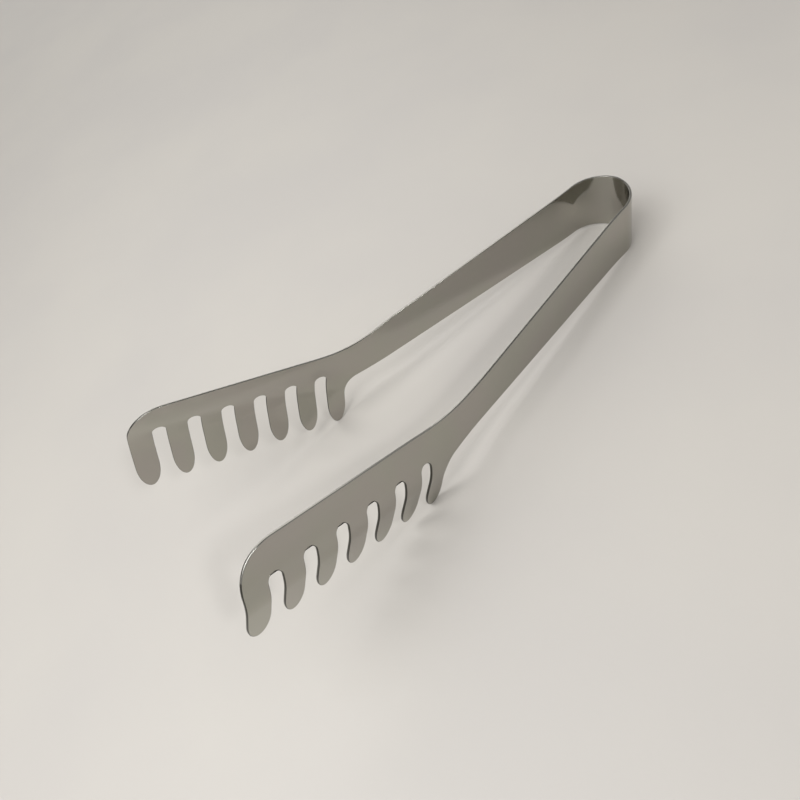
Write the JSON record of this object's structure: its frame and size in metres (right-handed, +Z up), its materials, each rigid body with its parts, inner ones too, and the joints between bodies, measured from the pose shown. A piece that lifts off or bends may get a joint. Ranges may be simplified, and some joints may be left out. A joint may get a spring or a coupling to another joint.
{
  "type": "spaghetti tongs",
  "caption": "Spring tongs bent from a single steel strip, with flat arms and comb heads whose curled tines grip and lift long pasta.",
  "frame": {"origin": "on the table plane under the middle of the part's bounding box", "axes": "+Y from the bow to the comb heads, +Z up from the table, +X to the right seen from the bow; the part stands as it rests, on the lower edge of the bow and the tips of the rear tines"},
  "size_m": [0.0962, 0.24, 0.0712],
  "materials": {
    "stainless_steel": "satin polished stainless steel"
  },
  "bodies": {
    "bow": {"handle_bow": "stainless_steel"},
    "left_side": {"left_arm": "stainless_steel", "left_comb": "stainless_steel"},
    "right_side": {"right_arm": "stainless_steel", "right_comb": "stainless_steel"}
  },
  "joints": [
    {"name": "left_arm_flex", "type": "hinge", "parent": "bow", "child": "left_side", "pos_m": [-0.01487, -0.10274, 0.00153], "axis": [0, 0.1053, -0.9944], "range_deg": [-3, 11], "stiffness_Nm_per_rad": 5},
    {"name": "right_arm_flex", "type": "hinge", "parent": "bow", "child": "right_side", "pos_m": [0.01487, -0.10274, 0.00153], "axis": [0, -0.1053, 0.9944], "range_deg": [-3, 11], "stiffness_Nm_per_rad": 5}
  ],
  "couplings": [
    {"joint": "right_arm_flex", "follows": "left_arm_flex", "ratio": 1}
  ]
}
